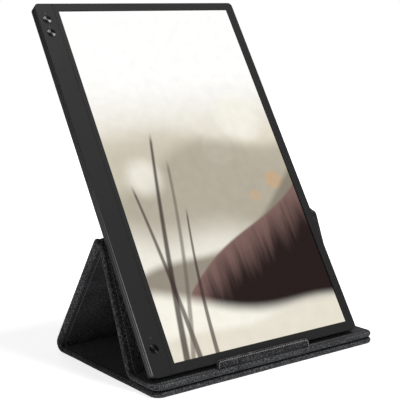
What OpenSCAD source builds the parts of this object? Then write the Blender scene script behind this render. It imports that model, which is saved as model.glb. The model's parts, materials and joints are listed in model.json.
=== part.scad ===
// Portable 15.6 inch monitor standing upright in its folding fabric cover.
// Millimetres, +X to the viewer's right, +Y away from the viewer, +Z up.
// The origin is the middle of the cover's underside, on the table.

/* [Screen] */
// Width of the lit picture, as the monitor stands upright
screen_w = 193.6; // [150:0.1:240]
// Height of the lit picture
screen_h = 344.2; // [260:0.1:420]
// Wide bezel at the left, with the buttons
bezel_left = 23.4; // [20:0.1:34]
// Narrow bezel at the right
bezel_right = 8.9; // [6:0.1:16]
// Bezel above the picture
bezel_top = 8; // [6:0.1:16]
// Bezel below the picture
bezel_bottom = 8.6; // [6:0.1:16]

/* [Monitor housing] */
// Depth of the straight side wall, front face to rest edge
side_depth = 8; // [6.6:0.1:12]
// How far the rear bulges past the side wall
rear_bulge = 3.8; // [2.6:0.1:8]
// Width of the slope between the side wall and the rear face
rear_slope = 6.6; // [4:0.1:14]
// Corner radius seen from the front
corner_r = 5.5; // [3:0.1:10]
// Wall thickness of the rear housing
housing_wall = 1.4; // [1:0.1:1.8]
// Thickness of the bezel plate
bezel_plate = 1; // [0.8:0.1:1.2]
// Depth of the bezel's rim, front face to parting line
bezel_rim = 2.6; // [2:0.1:3.4]
// Chamfer round the bezel's front edge
bezel_chamfer = 0.5; // [0.2:0.1:0.8]

/* [Buttons] */
// Diameter of the round buttons
button_d = 8.2; // [5:0.1:9]
// How far a button stands out of the bezel
button_proud = 0.25; // [0.1:0.05:0.6]
// Travel of a button
button_travel = 0.3; // [0.2:0.05:0.4]
// Distance from the bezel's left edge to the button centres
button_inset = 9; // [8:0.1:11]
// Upper menu button, below the top edge
menu_upper_drop = 17.6; // [14:0.1:24]
// Lower menu button, below the upper one
menu_pitch = 14.3; // [12:0.1:20]
// Power button, above the bottom edge
power_rise = 24; // [20:0.1:40]
// Status light, above the power button
light_rise = 10; // [8:0.1:16]

/* [Cover] */
// How far the cover reaches past the monitor's left side
reach_left = 3.25; // [1:0.05:30]
// How far the cover reaches past the monitor's right side
reach_right = 16.85; // [1:0.05:30]
// Free strip of the ledge in front of the lip
ledge_front = 3.4; // [2:0.1:30]
// Thickness of every stiffened panel
panel_t = 4.8; // [4:0.1:6]
// Radius of the cover's free corners
cover_corner_r = 10; // [6:0.5:16]
// Outer radius of the three folds
fold_r = 6.2; // [5.8:0.1:9]
// Length of the rear panel between its folds
rear_len = 133.4; // [110:0.1:170]
// Length of the support panel between its folds
support_len = 107.6; // [88:0.1:130]
// Lean of the support panel from upright, degrees
support_lean = 20; // [16:0.5:24]
// Gap between the ledge panel and the base panel
ledge_gap = 1.4; // [1:0.1:3]
// Seam distance from the panel edges
seam_inset = 8; // [6:0.5:12]
// Stiffening board thickness
board_t = 2.2; // [1.5:0.1:2.4]
// Lining thickness
lining_t = 1; // [0.6:0.1:1.2]

/* [Lip and magnets] */
// Width of the stop lip on the ledge
lip_w = 102; // [60:1:180]
// Height of the lip above the ledge
lip_h = 7.4; // [4:0.1:10]
// Thickness of the lip
lip_t = 3.2; // [1.8:0.1:4]
// Diameter of the closing magnets
magnet_d = 12; // [8:0.5:16]
// Distance between neighbouring magnets
magnet_pitch = 84; // [40:1:100]
// Thickness of the closing magnets
magnet_t = 1.5; // [1:0.1:1.8]

/* [Fits] */
// Running gap round the buttons
button_gap = 0.2; // [0.1:0.05:0.3]
// Gap between parts that only rest on each other
rest_gap = 0.3; // [0.2:0.05:0.5]
// Lean of the screen from upright, degrees
screen_lean = 30.8; // [28:0.1:34]

/* [Hidden] */
$fn = 48;

// Heights and leans of the cover's folds.
fold_inner = fold_r - panel_t;
back_z = fold_r;
bend_z = panel_t + ledge_gap + fold_r;
// The support panel's own plane lies this far off the line between its folds.
support_offset = fold_r + fold_inner;
apex_z = bend_z + support_len * cos(support_lean)
    - support_offset * sin(support_lean);
rear_lean = acos((apex_z - back_z) / rear_len);
ledge_top = bend_z - fold_inner;

// Monitor: its own frame has its origin at the middle of its lower rest
// edge, local +Z up the screen and local +Y out of its rear face.
monitor_w = bezel_left + screen_w + bezel_right;
monitor_h = bezel_bottom + screen_h + bezel_top;
front_y = -side_depth;
rear_y = rear_bulge;
parting_y = front_y + bezel_rim;
rest_z = ledge_top + rest_gap;

// How far each piece lies in front of the apex fold. The rear face of the
// monitor stands rest_gap clear of that fold.
bend_back = support_len * sin(support_lean)
    + support_offset * cos(support_lean);
rest_back = ((apex_z - rest_z) * sin(screen_lean)
    + rear_y + fold_r + rest_gap) / cos(screen_lean);
lip_back = rest_back + side_depth * cos(screen_lean) + rest_gap + lip_t;
rear_run = rear_len * sin(rear_lean);

// The cover's size follows from what it carries.
cover_w = reach_left + monitor_w + reach_right;
cover_d = fold_r + rear_run + lip_back + ledge_front;
base_len = cover_d - fold_r;
ledge_len = lip_back + ledge_front - bend_back;
monitor_shift = (reach_left - reach_right) / 2;

// Places along Y, with the cover's middle at 0.
back_y = cover_d / 2 - fold_r;
apex_y = back_y - rear_run;
bend_y = apex_y - bend_back;
rest_y = apex_y - rest_back;
lip_y = apex_y - lip_back;
screen_x = bezel_left - monitor_w / 2;

// Crease in the wide bezel, and the groove along the parting line.
crease_gap = 4.6;
crease_w = 0.5;
crease_depth = 0.25;
groove_w = 0.35;
groove_depth = 0.3;

// Layers of the display, front to back, in the monitor's frame.
gasket_t = 0.2;
glass_t = 1.1;
sheet_t = 0.2;
sheet_count = 3;
guide_t = 1.2;
reflector_t = 0.2;
tray_t = 0.3;
gasket_y = front_y + bezel_plate;
glass_y = gasket_y + gasket_t;
sheets_y = glass_y + glass_t;
guide_y = sheets_y + sheet_count * sheet_t;
reflector_y = guide_y + guide_t;
tray_y = reflector_y + reflector_t;
tray_back_y = tray_y + tray_t;
// How far each layer reaches past the picture on every side.
glass_margin = 2.6;
gasket_margin = 2;
gasket_set_back = 0.4;
sheet_margin = 0.8;
sheet_step = 0.1;
guide_margin = 0.4;
frame_margin = 1.3;

// Circuit boards and what they carry.
pcb_t = 0.8;
key_board_w = 13;
key_board_end = 7;
light_end = 4;
switch_h = 0.9;
switch_w = 4.6;
plunger_r = 1.1;
plunger_len = 0.25;
plunger_gap = 0.05;
flange_t = 0.5;
flange_step = 0.9;
dish_r = 30;
dish_depth = 0.2;
button_r = button_d / 2;
flange_r = button_r + flange_step;
button_x = button_inset - monitor_w / 2;
menu_upper_z = monitor_h - menu_upper_drop;
menu_lower_z = menu_upper_z - menu_pitch;
light_z = power_rise + light_rise;
button_back_y = front_y + bezel_plate + button_gap + flange_t;
plunger_y = button_back_y + button_travel + plunger_gap;
switch_y = plunger_y + plunger_len;
key_pcb_y = switch_y + switch_h;
light_r = 0.8;

main_board_w = 62;
main_board_h = 96;
main_board_drop = 34;
main_board_inset = 20;
main_board_z = monitor_h - main_board_drop - main_board_h;
main_board_x = -monitor_w / 2 + main_board_inset;
standoff = 0.7;
main_pcb_y = tray_back_y + standoff;
chip_h = 0.9;
screw_r = 1.2;
screw_head_r = 2.1;
screw_head_h = 0.7;
screw_gap = 0.1;
screw_inset = 4;
source_board_w = 8;
source_board_h = 50;
source_board_gap = 0.8;
cable_w = 18;
cable_t = 0.15;
cable_rise = 12;
cable_lap = 4;
cable_reach = 14;

socket_w = 8.9;
socket_h = 3.2;
socket_len = 7.4;
socket_wall = 0.3;
socket_inset = 15.5;
socket_x = -monitor_w / 2 + socket_inset;
// Middle of the straight side wall behind the parting line.
socket_y = parting_y / 2;
socket_lip = 0.15;
socket_floor = 1;
tongue_w = 6.7;
tongue_t = 0.7;
tongue_set_back = 2;

insert_r = 4.4;
insert_bore_r = 2.55;
insert_len = 5.4;
insert_floor = 0.6;
insert_x = button_x + 1;
insert_z = monitor_h / 2;
boss_wall = 1.6;
boss_floor = 1;

// The cover's sewn panels.
edge_r = panel_t / 2;
board_inset = 3.2;
board_z = lining_t;
fold_seat = 0.15;
lip_corner_r = 3;
lip_skin = 0.7;
magnet_count = 3;
// The magnets lie along the middle of the ledge panel.
magnet_back = ledge_len / 2;
lip_z = ledge_top + rest_gap;

// Places children in the monitor's frame.
module on_monitor() {
    translate([monitor_shift, rest_y, rest_z])
        rotate([-screen_lean, 0, 0]) children();
}

// Rectangle with round corners, centred across and standing on z = 0,
// as a plate from y to y + thick.
module upright_plate(w, h, y, thick, r) {
    translate([0, y + thick, 0]) rotate([90, 0, 0])
        linear_extrude(thick) rounded_rect(w, h, r);
}

// Flat rectangle with round corners, centred in x, from y = 0 to y = h.
module rounded_rect(w, h, r) {
    union() {
        translate([r - w / 2, 0]) square([w - 2 * r, h]);
        translate([-w / 2, r]) square([w, h - 2 * r]);
        for (x = [r - w / 2, w / 2 - r], y = [r, h - r])
            translate([x, y]) circle(r);
    }
}

// Box between two corners.
module span(x, y, z) {
    translate([x[0], y[0], z[0]])
        cube([x[1] - x[0], y[1] - y[0], z[1] - z[0]]);
}

// Disc along local +Y, at x and z, from y[0] to y[1].
module disc_y(x, z, y, r, $fn = 48) {
    translate([x, y[0], z]) rotate([-90, 0, 0])
        cylinder(h = y[1] - y[0], r = r);
}

// The picture area as a plate, grown by margin on every side.
module screen_plate(margin, y, thick) {
    span([screen_x - margin, screen_x + screen_w + margin], [y, y + thick],
        [bezel_bottom - margin, bezel_bottom + screen_h + margin]);
}

// Frame round the picture area, between two margins.
module screen_ring(outer, inner, y, thick) {
    difference() {
        screen_plate(outer, y, thick);
        screen_plate(inner, y - 1, thick + 2);
    }
}

// Outer form of the rear housing, shrunk by a wall thickness.
module housing_form(wall, front) {
    w = monitor_w - 2 * wall;
    h = monitor_h - 2 * wall;
    back = rear_y - wall;
    depth = back - front;
    intersection() {
        translate([0, 0, wall])
            upright_plate(w, h, front, depth, corner_r - wall / 2);
        translate([0, 0, wall]) linear_extrude(h) polygon([
            [-w / 2, front], [w / 2, front], [w / 2, 0],
            [w / 2 - rear_slope, back], [rear_slope - w / 2, back],
            [-w / 2, 0]]);
        translate([-w / 2, 0, wall]) rotate([90, 0, 90])
            linear_extrude(w) polygon([
                [front, 0], [0, 0], [back, rear_slope],
                [back, h - rear_slope], [0, h], [front, h]]);
    }
}

module front_bezel() {
    color("#343436") on_monitor() difference() {
        intersection() {
            upright_plate(monitor_w, monitor_h, front_y, bezel_rim, corner_r);
            // Chamfer along the four front edges.
            linear_extrude(monitor_h) polygon([
                [-monitor_w / 2, parting_y], [monitor_w / 2, parting_y],
                [monitor_w / 2, front_y + bezel_chamfer],
                [monitor_w / 2 - bezel_chamfer, front_y],
                [bezel_chamfer - monitor_w / 2, front_y],
                [-monitor_w / 2, front_y + bezel_chamfer]]);
            translate([-monitor_w / 2, 0, 0]) rotate([90, 0, 90])
                linear_extrude(monitor_w) polygon([
                    [parting_y, 0], [front_y + bezel_chamfer, 0],
                    [front_y, bezel_chamfer],
                    [front_y, monitor_h - bezel_chamfer],
                    [front_y + bezel_chamfer, monitor_h], [parting_y, monitor_h]]);
        }
        screen_plate(0, front_y - 1, bezel_rim + 2);
        // Hollow behind the plate, inside the rim.
        translate([0, 0, housing_wall]) upright_plate(monitor_w - 2 * housing_wall,
            monitor_h - 2 * housing_wall, gasket_y, bezel_rim, corner_r - housing_wall);
        for (z = [menu_upper_z, menu_lower_z, power_rise])
            disc_y(button_x, z, [front_y - 1, parting_y],
                button_r + button_gap);
        disc_y(button_x, light_z, [front_y - 1, parting_y], light_r);
        // Fine crease beside the screen, over the full height.
        span([screen_x - crease_gap - crease_w, screen_x - crease_gap],
            [front_y - 1, front_y + crease_depth], [-1, monitor_h + 1]);
    }
}

module rear_housing() {
    color("#2e2e30") on_monitor() difference() {
        union() {
            difference() {
                housing_form(0, parting_y);
                housing_form(housing_wall, parting_y - 1);
            }
            // Boss that holds the tripod insert.
            intersection() {
                housing_form(0, parting_y);
                disc_y(insert_x, insert_z, [rear_y - insert_len - boss_floor,
                    rear_y], insert_r + boss_wall);
            }
        }
        // Groove all round along the parting line.
        difference() {
            span([-monitor_w, monitor_w],
                [parting_y - 1, parting_y + groove_w], [-1, monitor_h + 1]);
            translate([0, 0, groove_depth])
                upright_plate(monitor_w - 2 * groove_depth,
                    monitor_h - 2 * groove_depth, parting_y - 2, 4,
                    corner_r - groove_depth);
        }
        disc_y(insert_x, insert_z, [rear_y - insert_len, rear_y + 1],
            insert_r);
        // Mouth of the socket in the top wall.
        socket_shape(socket_w, socket_h, monitor_h - 2 * housing_wall,
            monitor_h + 1);
    }
}

// Rounded slot of a socket, from z0 to z1 along the screen's height.
module socket_shape(w, h, z0, z1) {
    translate([socket_x, socket_y, z0]) linear_extrude(z1 - z0) {
        square([w - h, h], center = true);
        for (side = [-1, 1])
            translate([side * (w - h) / 2, 0]) circle(h / 2);
    }
}

module usb_socket() {
    top = monitor_h - socket_lip;
    color("#b9bcc0") on_monitor() {
        difference() {
            socket_shape(socket_w, socket_h, top - socket_len, top);
            socket_shape(socket_w - 2 * socket_wall,
                socket_h - 2 * socket_wall, top - socket_len + socket_floor,
                top + 1);
        }
        span([socket_x - tongue_w / 2, socket_x + tongue_w / 2],
            [socket_y - tongue_t / 2, socket_y + tongue_t / 2],
            [top - socket_len + socket_floor, top - tongue_set_back]);
    }
}

module bezel_gasket() {
    color("#1c1c1e") on_monitor()
        screen_ring(gasket_margin, gasket_set_back, gasket_y, gasket_t);
}

module lcd_cell() {
    color("#d9d4c8") on_monitor()
        screen_plate(glass_margin, glass_y, glass_t);
}

module optical_sheets() {
    color("#f2f2ee") on_monitor()
        for (i = [0 : sheet_count - 1])
            screen_plate(sheet_margin - sheet_step * i, sheets_y + i * sheet_t, sheet_t);
}

module light_guide() {
    color("#e8f0ee") on_monitor()
        screen_plate(guide_margin, guide_y, guide_t);
}

module reflector_sheet() {
    color("#fafafa") on_monitor()
        screen_plate(guide_margin, reflector_y, reflector_t);
}

// Strip of light sources along the light guide's lower edge.
module led_strip() {
    strip_h = 0.8;
    strip_t = 0.25;
    strip_end = 2;
    led_count = 20;
    led_w = 3;
    led_end = 6;
    led_front = guide_y + 0.15;
    pitch = (screen_w - 2 * led_end) / (led_count - 1);
    top = bezel_bottom - guide_margin - 0.05;
    bottom = bezel_bottom - guide_margin - strip_h;
    strip_y = reflector_y - strip_t;
    color("#f0e6a8") on_monitor() {
        span([screen_x + strip_end, screen_x + screen_w - strip_end],
            [strip_y, reflector_y], [bottom, top]);
        for (i = [0 : led_count - 1]) {
            x = screen_x + led_end + i * pitch;
            span([x - led_w / 2, x + led_w / 2], [led_front, strip_y],
                [bottom, top]);
        }
    }
}

// Moulded frame that carries the glass and holds the stack together.
module panel_frame() {
    color("#e9e9e6") on_monitor()
        screen_ring(glass_margin, frame_margin, sheets_y, tray_y - sheets_y);
}

module panel_tray() {
    color("#a9acae") on_monitor()
        screen_plate(glass_margin, tray_y, tray_t);
}

// Board beside the display, level with the main board's lower end.
module source_board() {
    x1 = screen_x - glass_margin - source_board_gap;
    color("#1f5b3a") on_monitor()
        span([x1 - source_board_w, x1], [tray_y, tray_y + pcb_t],
            [main_board_z, main_board_z + source_board_h]);
}

// Flat cable from the source board, in under the main board.
module panel_cable() {
    x0 = screen_x - glass_margin - cable_lap;
    z0 = main_board_z + cable_rise;
    y0 = tray_y + pcb_t;
    color("#c7a24a") on_monitor()
        span([x0, main_board_x + cable_reach], [y0, y0 + cable_t],
            [z0, z0 + cable_w]);
}

module main_board() {
    color("#1f6b44") on_monitor() difference() {
        span([main_board_x, main_board_x + main_board_w],
            [main_pcb_y, main_pcb_y + pcb_t],
            [main_board_z, main_board_z + main_board_h]);
        for (p = board_holes())
            disc_y(p[0], p[1], [main_pcb_y - 1, main_pcb_y + pcb_t + 1],
                screw_r + screw_gap, $fn = 12);
    }
}

// Screw places at the main board's corners, as [x, z].
function board_holes() = [for (
    x = [main_board_x + screw_inset, main_board_x + main_board_w - screw_inset],
    z = [main_board_z + screw_inset, main_board_z + main_board_h - screw_inset])
    [x, z]];

module board_screws() {
    color("#8d9094") on_monitor() for (p = board_holes()) {
        disc_y(p[0], p[1], [tray_back_y, main_pcb_y + pcb_t], screw_r,
            $fn = 12);
        disc_y(p[0], p[1], [main_pcb_y + pcb_t,
            main_pcb_y + pcb_t + screw_head_h], screw_head_r, $fn = 12);
    }
}

module board_chips() {
    y0 = main_pcb_y + pcb_t;
    // Width, height and place from the board's corner of each chip.
    sizes = [[14, 14, 12, 70], [7, 5, 36, 78], [5, 5, 48, 66], [4, 8, 12, 56],
        [3, 2, 34, 66], [3, 2, 40, 66], [6, 4, 48, 84]];
    color("#161618") on_monitor() for (s = sizes)
        span([main_board_x + s[2], main_board_x + s[2] + s[0]],
            [y0, y0 + chip_h],
            [main_board_z + s[3], main_board_z + s[3] + s[1]]);
}

module shield_can() {
    y0 = main_pcb_y + pcb_t;
    can_t = 0.2;
    can_inset = 12;
    can_w = 38;
    can_x = [main_board_x + can_inset, main_board_x + can_inset + can_w];
    can_z = [main_board_z + can_inset, main_board_z + can_inset + can_w];
    color("#b4b7ba") on_monitor() difference() {
        span(can_x, [y0, y0 + chip_h], can_z);
        span([can_x[0] + can_t, can_x[1] - can_t],
            [y0 - 1, y0 + chip_h - can_t],
            [can_z[0] + can_t, can_z[1] - can_t]);
    }
}

// Small board behind buttons, from z0 to z1.
module key_board(z0, z1) {
    peg_inset = 1.8;
    peg_r = 0.8;
    difference() {
        span([button_x - key_board_w / 2, button_x + key_board_w / 2],
            [key_pcb_y, key_pcb_y + pcb_t], [z0, z1]);
        disc_y(button_x - key_board_w / 2 + peg_inset, z0 + peg_inset,
            [key_pcb_y - 1, key_pcb_y + pcb_t + 1], peg_r, $fn = 12);
    }
}

module menu_switch_board() {
    color("#1f5b3a") on_monitor() key_board(menu_lower_z - key_board_end,
        menu_upper_z + key_board_end);
}

module power_switch_board() {
    color("#1f5b3a") on_monitor() key_board(power_rise - key_board_end,
        light_z + light_end);
}

module tact_switches() {
    color("#cfd2d4") on_monitor()
        for (z = [menu_upper_z, menu_lower_z, power_rise]) {
            span([button_x - switch_w / 2, button_x + switch_w / 2],
                [switch_y, key_pcb_y], [z - switch_w / 2, z + switch_w / 2]);
            disc_y(button_x, z, [plunger_y, switch_y], plunger_r, $fn = 12);
        }
}

// Round button with the flange that keeps it in the bezel.
module button(z) {
    on_monitor() {
        difference() {
            disc_y(button_x, z, [front_y - button_proud, button_back_y],
                button_r);
            // Shallow dish in the button's face.
            translate([button_x, front_y - button_proud + dish_depth - dish_r,
                z]) sphere(dish_r, $fn = 96);
        }
        disc_y(button_x, z, [button_back_y - flange_t, button_back_y],
            flange_r);
    }
}

module menu_button_upper() {
    color("#3c3c3f") button(menu_upper_z);
}

module menu_button_lower() {
    color("#3c3c3f") button(menu_lower_z);
}

module power_button() {
    color("#3c3c3f") button(power_rise);
}

module status_light_pipe() {
    color("#dfe6e8") on_monitor()
        disc_y(button_x, light_z, [front_y, key_pcb_y], light_r);
}

module tripod_insert() {
    color("#b08d4a") on_monitor() difference() {
        disc_y(insert_x, insert_z, [rear_y - insert_len, rear_y], insert_r);
        disc_y(insert_x, insert_z, [rear_y - insert_len + insert_floor,
            rear_y + 1],
            insert_bore_r);
    }
}

// Places children at a fold, with local +Y along the panel.
module at_fold(y, z, turn) {
    translate([0, y, z]) rotate([turn, 0, 0]) children();
}

module on_base() {
    at_fold(back_y, back_z, 180) translate([0, 0, fold_inner]) children();
}

module on_rear() {
    at_fold(apex_y, apex_z, rear_lean - 90)
        translate([0, 0, fold_inner]) children();
}

module on_support() {
    at_fold(bend_y, bend_z, 90 - support_lean)
        translate([0, 0, -fold_r]) children();
}

module on_ledge() {
    translate([0, bend_y, bend_z]) rotate([0, 0, 180])
        translate([0, 0, -fold_r]) children();
}

// Sewn panel: lining face at z = 0, outer face at z = panel_t, side edges
// round. It starts at a fold at y = 0; its other end is square or free.
module soft_slab(len, free_end) {
    w = cover_w - 2 * edge_r;
    r = cover_corner_r - edge_r;
    straight = free_end ? len - cover_corner_r : len - fold_seat;
    translate([0, fold_seat, 0]) linear_extrude(panel_t)
        translate([-w / 2, 0]) square([w, straight - fold_seat]);
    for (side = [-1, 1]) translate([side * w / 2, straight, edge_r])
        rotate([90, 0, 0]) linear_extrude(straight - fold_seat)
            half_disc(side);
    if (free_end) {
        linear_extrude(panel_t) {
            translate([r - w / 2, straight]) square([w - 2 * r, r]);
            for (side = [-1, 1]) intersection() {
                translate([side * (w / 2 - r), straight]) circle(r);
                translate([side * (w / 2 - r / 2), straight + r / 2])
                    square(r, center = true);
            }
        }
        translate([w / 2 - r, straight + r, edge_r]) rotate([90, 0, -90])
            linear_extrude(w - 2 * r) half_disc(-1);
        for (side = [0, 1]) mirror([side, 0, 0])
            translate([w / 2 - r, straight, edge_r])
                rotate_extrude(angle = 90) translate([r, 0]) half_disc(1);
    }
}

// Half of a disc of radius edge_r, on the side of +X or -X.
module half_disc(side) {
    intersection() {
        circle(edge_r);
        translate([side * edge_r / 2, 0])
            square([edge_r, 2 * edge_r], center = true);
    }
}

// Plate inside a panel, inset from all four edges, from z0 to z0 + thick.
module inset_plate(len, inset, z0, thick) {
    translate([0, inset, z0]) linear_extrude(thick)
        rounded_rect(cover_w - 2 * inset, len - 2 * inset,
            max(1, cover_corner_r - inset));
}

// Outer fabric with its turned edge: the slab without lining and board.
module panel_cover(len, free_end) {
    difference() {
        soft_slab(len, free_end);
        inset_plate(len, seam_inset, -1, lining_t + 1);
        inset_plate(len, board_inset, board_z, board_t);
    }
}

module panel_lining(len) {
    inset_plate(len, seam_inset, 0, lining_t);
}

module panel_board(len) {
    inset_plate(len, board_inset, board_z, board_t);
}

// Row of magnet discs sunk in a board, at a distance from the fold.
module magnets(from_fold, grow) {
    for (i = [0 : magnet_count - 1])
        translate([(i - (magnet_count - 1) / 2) * magnet_pitch, from_fold,
            board_z - grow])
            cylinder(h = magnet_t + grow, r = magnet_d / 2, $fn = 12);
}

// Folded fabric between two panels: a part of a tube round a fold's axis,
// from one angle to another, measured from +Y towards +Z.
module fold_band(y, z, from, to) {
    sweep = to - from;
    steps = 6;
    translate([edge_r - cover_w / 2, y, z]) rotate([90, 0, 90])
        rotate([0, 0, from]) linear_extrude(cover_w - 2 * edge_r)
            intersection() {
                difference() {
                    circle(fold_r);
                    circle(fold_inner);
                }
                polygon(concat([[0, 0]], [for (i = [0 : steps]) 2 * fold_r
                    * [cos(sweep * i / steps), sin(sweep * i / steps)]]));
            }
}

module base_cover() {
    color("#2b2c2f") on_base() panel_cover(base_len, true);
}

module base_lining() {
    color("#3a3b3f") on_base() panel_lining(base_len);
}

module base_board() {
    color("#6f5b45") on_base() difference() {
        panel_board(base_len);
        magnets(base_len - magnet_back, 1);
    }
}

module base_magnets() {
    color("#9fa3a7") on_base() magnets(base_len - magnet_back, 0);
}

module rear_cover() {
    color("#2b2c2f") on_rear() panel_cover(rear_len, false);
}

module rear_lining() {
    color("#3a3b3f") on_rear() panel_lining(rear_len);
}

module rear_board() {
    color("#6f5b45") on_rear() panel_board(rear_len);
}

module support_cover() {
    color("#2b2c2f") on_support() panel_cover(support_len, false);
}

module support_lining() {
    color("#3a3b3f") on_support() panel_lining(support_len);
}

module support_board() {
    color("#6f5b45") on_support() panel_board(support_len);
}

module ledge_cover() {
    color("#2b2c2f") on_ledge() panel_cover(ledge_len, true);
}

module ledge_lining() {
    color("#3a3b3f") on_ledge() panel_lining(ledge_len);
}

module ledge_board() {
    color("#6f5b45") on_ledge() difference() {
        panel_board(ledge_len);
        magnets(ledge_len - magnet_back, 1);
    }
}

module ledge_magnets() {
    color("#9fa3a7") on_ledge() magnets(ledge_len - magnet_back, 0);
}

module back_crease() {
    color("#2b2c2f") fold_band(back_y, back_z, -90, rear_lean);
}

module apex_crease() {
    color("#2b2c2f")
        fold_band(apex_y, apex_z, rear_lean, 180 - support_lean);
}

module bend_crease() {
    color("#2b2c2f") fold_band(bend_y, bend_z, -90, -support_lean);
}

// Upright plate of the lip, shrunk all round by a skin.
module lip_plate(skin) {
    translate([monitor_shift, lip_y + skin, lip_z + skin])
        upright_plate(lip_w - 2 * skin, lip_h - 2 * skin, 0,
            lip_t - 2 * skin, lip_corner_r - skin / 2);
}

module lip_cover() {
    color("#34363a") difference() {
        lip_plate(0);
        lip_plate(lip_skin);
    }
}

module lip_board() {
    color("#6f5b45") lip_plate(lip_skin);
}

front_bezel();
rear_housing();
bezel_gasket();
lcd_cell();
optical_sheets();
light_guide();
reflector_sheet();
led_strip();
panel_frame();
panel_tray();
source_board();
panel_cable();
main_board();
board_chips();
shield_can();
board_screws();
usb_socket();
menu_switch_board();
power_switch_board();
tact_switches();
menu_button_upper();
menu_button_lower();
power_button();
status_light_pipe();
tripod_insert();
base_cover();
base_lining();
base_board();
base_magnets();
rear_cover();
rear_lining();
rear_board();
support_cover();
support_lining();
support_board();
ledge_cover();
ledge_lining();
ledge_board();
ledge_magnets();
back_crease();
apex_crease();
bend_crease();
lip_cover();
lip_board();
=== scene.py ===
"""Looks of a portable monitor that stands upright in its folding fabric cover.

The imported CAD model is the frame. The cover's panels, folds and stitches and
the display are new surfaces around it, and the moulded parts keep their CAD
shape and get their finish here. Lengths are in metres.
"""

import json
import math

import bpy
import numpy as np
from bpy.props import (
    FloatProperty,
    FloatVectorProperty,
    IntProperty,
    PointerProperty,
)
from mathutils import Matrix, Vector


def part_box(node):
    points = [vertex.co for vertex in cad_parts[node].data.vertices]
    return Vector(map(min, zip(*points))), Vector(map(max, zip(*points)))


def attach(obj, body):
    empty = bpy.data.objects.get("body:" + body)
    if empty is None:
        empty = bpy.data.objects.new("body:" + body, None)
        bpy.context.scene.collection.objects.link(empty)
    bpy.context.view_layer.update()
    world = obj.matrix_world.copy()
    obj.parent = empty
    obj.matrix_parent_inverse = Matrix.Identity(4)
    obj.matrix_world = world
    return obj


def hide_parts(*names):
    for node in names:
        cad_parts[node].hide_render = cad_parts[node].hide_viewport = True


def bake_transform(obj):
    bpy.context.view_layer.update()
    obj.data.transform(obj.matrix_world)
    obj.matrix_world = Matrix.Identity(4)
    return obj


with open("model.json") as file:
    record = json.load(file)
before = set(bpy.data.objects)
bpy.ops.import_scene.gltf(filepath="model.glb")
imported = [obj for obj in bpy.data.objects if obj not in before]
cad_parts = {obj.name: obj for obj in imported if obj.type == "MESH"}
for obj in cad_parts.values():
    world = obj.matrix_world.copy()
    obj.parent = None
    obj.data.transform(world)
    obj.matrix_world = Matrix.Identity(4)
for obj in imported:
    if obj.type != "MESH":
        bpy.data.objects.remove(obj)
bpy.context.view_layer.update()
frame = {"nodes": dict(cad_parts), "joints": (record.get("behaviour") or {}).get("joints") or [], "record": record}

bl_info = {
    "name": "Portable monitor in a folding cover",
    "version": (1, 0, 0),
    "blender": (4, 5, 0),
    "location": "View3D > Sidebar > Monitor",
    "description": "Builds the cover, the display and their finishes",
    "category": "Object",
}

MM = 0.001


# Sizes that come from the frame ------------------------------------------

def joint(name):
    """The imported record's joint of that name."""
    return next(j for j in frame["joints"] if j["name"] == name)


def pivot(name):
    """A joint's place as (y, z), which is all that a fold along X needs."""
    return np.array(joint(name)["pos_m"][1:], float)


def node_size(node):
    """Width, depth and height of a CAD node's box."""
    low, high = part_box(node)
    return np.array(high - low, float)


BACK_FOLD = pivot("back_fold")
APEX_FOLD = pivot("apex_fold")
LEDGE_FOLD = pivot("ledge_fold")
SCREEN_FOOT = pivot("monitor_lean")
COVER_WIDTH = node_size("base_cover")[0]
COVER_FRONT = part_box("base_cover")[0][1]
PANEL_THICK = node_size("base_cover")[2]
FOLD_OUTER = BACK_FOLD[1]
LINING_INSET = (COVER_WIDTH - node_size("base_lining")[0]) / 2
SEAM_INSET = LINING_INSET - 1.5 * MM
ROLL_INSET = 2.9 * MM
SCREEN_LEAN = math.atan2(
    -joint("power_press")["axis"][2], joint("power_press")["axis"][1]
)
SCREEN_MIDDLE = float(sum(c[0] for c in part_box("front_bezel"))) / 2


# What a user would change ------------------------------------------------

def metres(name, default, description):
    """A property for a length."""
    return FloatProperty(name=name, default=default, unit="LENGTH",
                         description=description)


def shade(name, default, description):
    """A property for a colour."""
    return FloatVectorProperty(name=name, default=default, subtype="COLOR",
                               description=description)


def watts(name, default, description):
    """A property for a lamp's power."""
    return FloatProperty(name=name, default=default, unit="POWER",
                         description=description)


def degrees(name, default, description):
    """A property for an angle."""
    return FloatProperty(name=name, default=math.radians(default),
                         subtype="ANGLE", description=description)


class CoverSizes(bpy.types.PropertyGroup):
    """Sizes of the fabric cover."""

    corner: metres("Corner radius", 0.010,
                   "Radius of the two free corners of the base and the ledge")
    bend_radius: metres(
        "Ledge bend", 0.0085,
        "Middle radius of the bend from the support to the ledge")
    back_radius: metres("Back fold", 0.0046,
                        "Middle radius of the fold behind the base")
    apex_radius: metres("Top fold", 0.0038,
                        "Middle radius of the fold at the top of the stand")
    swell: metres("Rear swell", 0.0042,
                  "How far the rear panel's outside stands off its board")
    bow: metres("Rear bow", 0.0018,
                "How much further it stands off under the top fold")
    puff: metres("Puff", 0.0004,
                 "How far the turned edge swells beside the seam")
    groove: metres("Seam depth", 0.0006,
                   "How deep the seam pulls the fabric in")
    ripple: metres("Ripple", 0.00015,
                   "Height of the slow unevenness of the fabric")


class StitchSizes(bpy.types.PropertyGroup):
    """Sizes of the sewing."""

    length: metres("Stitch", 0.0024, "Length of one stitch")
    pitch: metres("Pitch", 0.0031, "Distance from one stitch to the next")
    thread: metres("Thread", 0.00040, "Radius of the thread")
    lip_inset: metres("Lip seam", 0.0013,
                      "Distance of the lip's seam from its edge")
    lip_thread: metres("Lip thread", 0.00030,
                       "Radius of the thread on the lip")
    lip_length: metres("Lip stitch", 0.0012, "Length of one stitch on the lip")
    lip_pitch: metres("Lip pitch", 0.0020,
                      "Distance from one stitch on the lip to the next")


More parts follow.
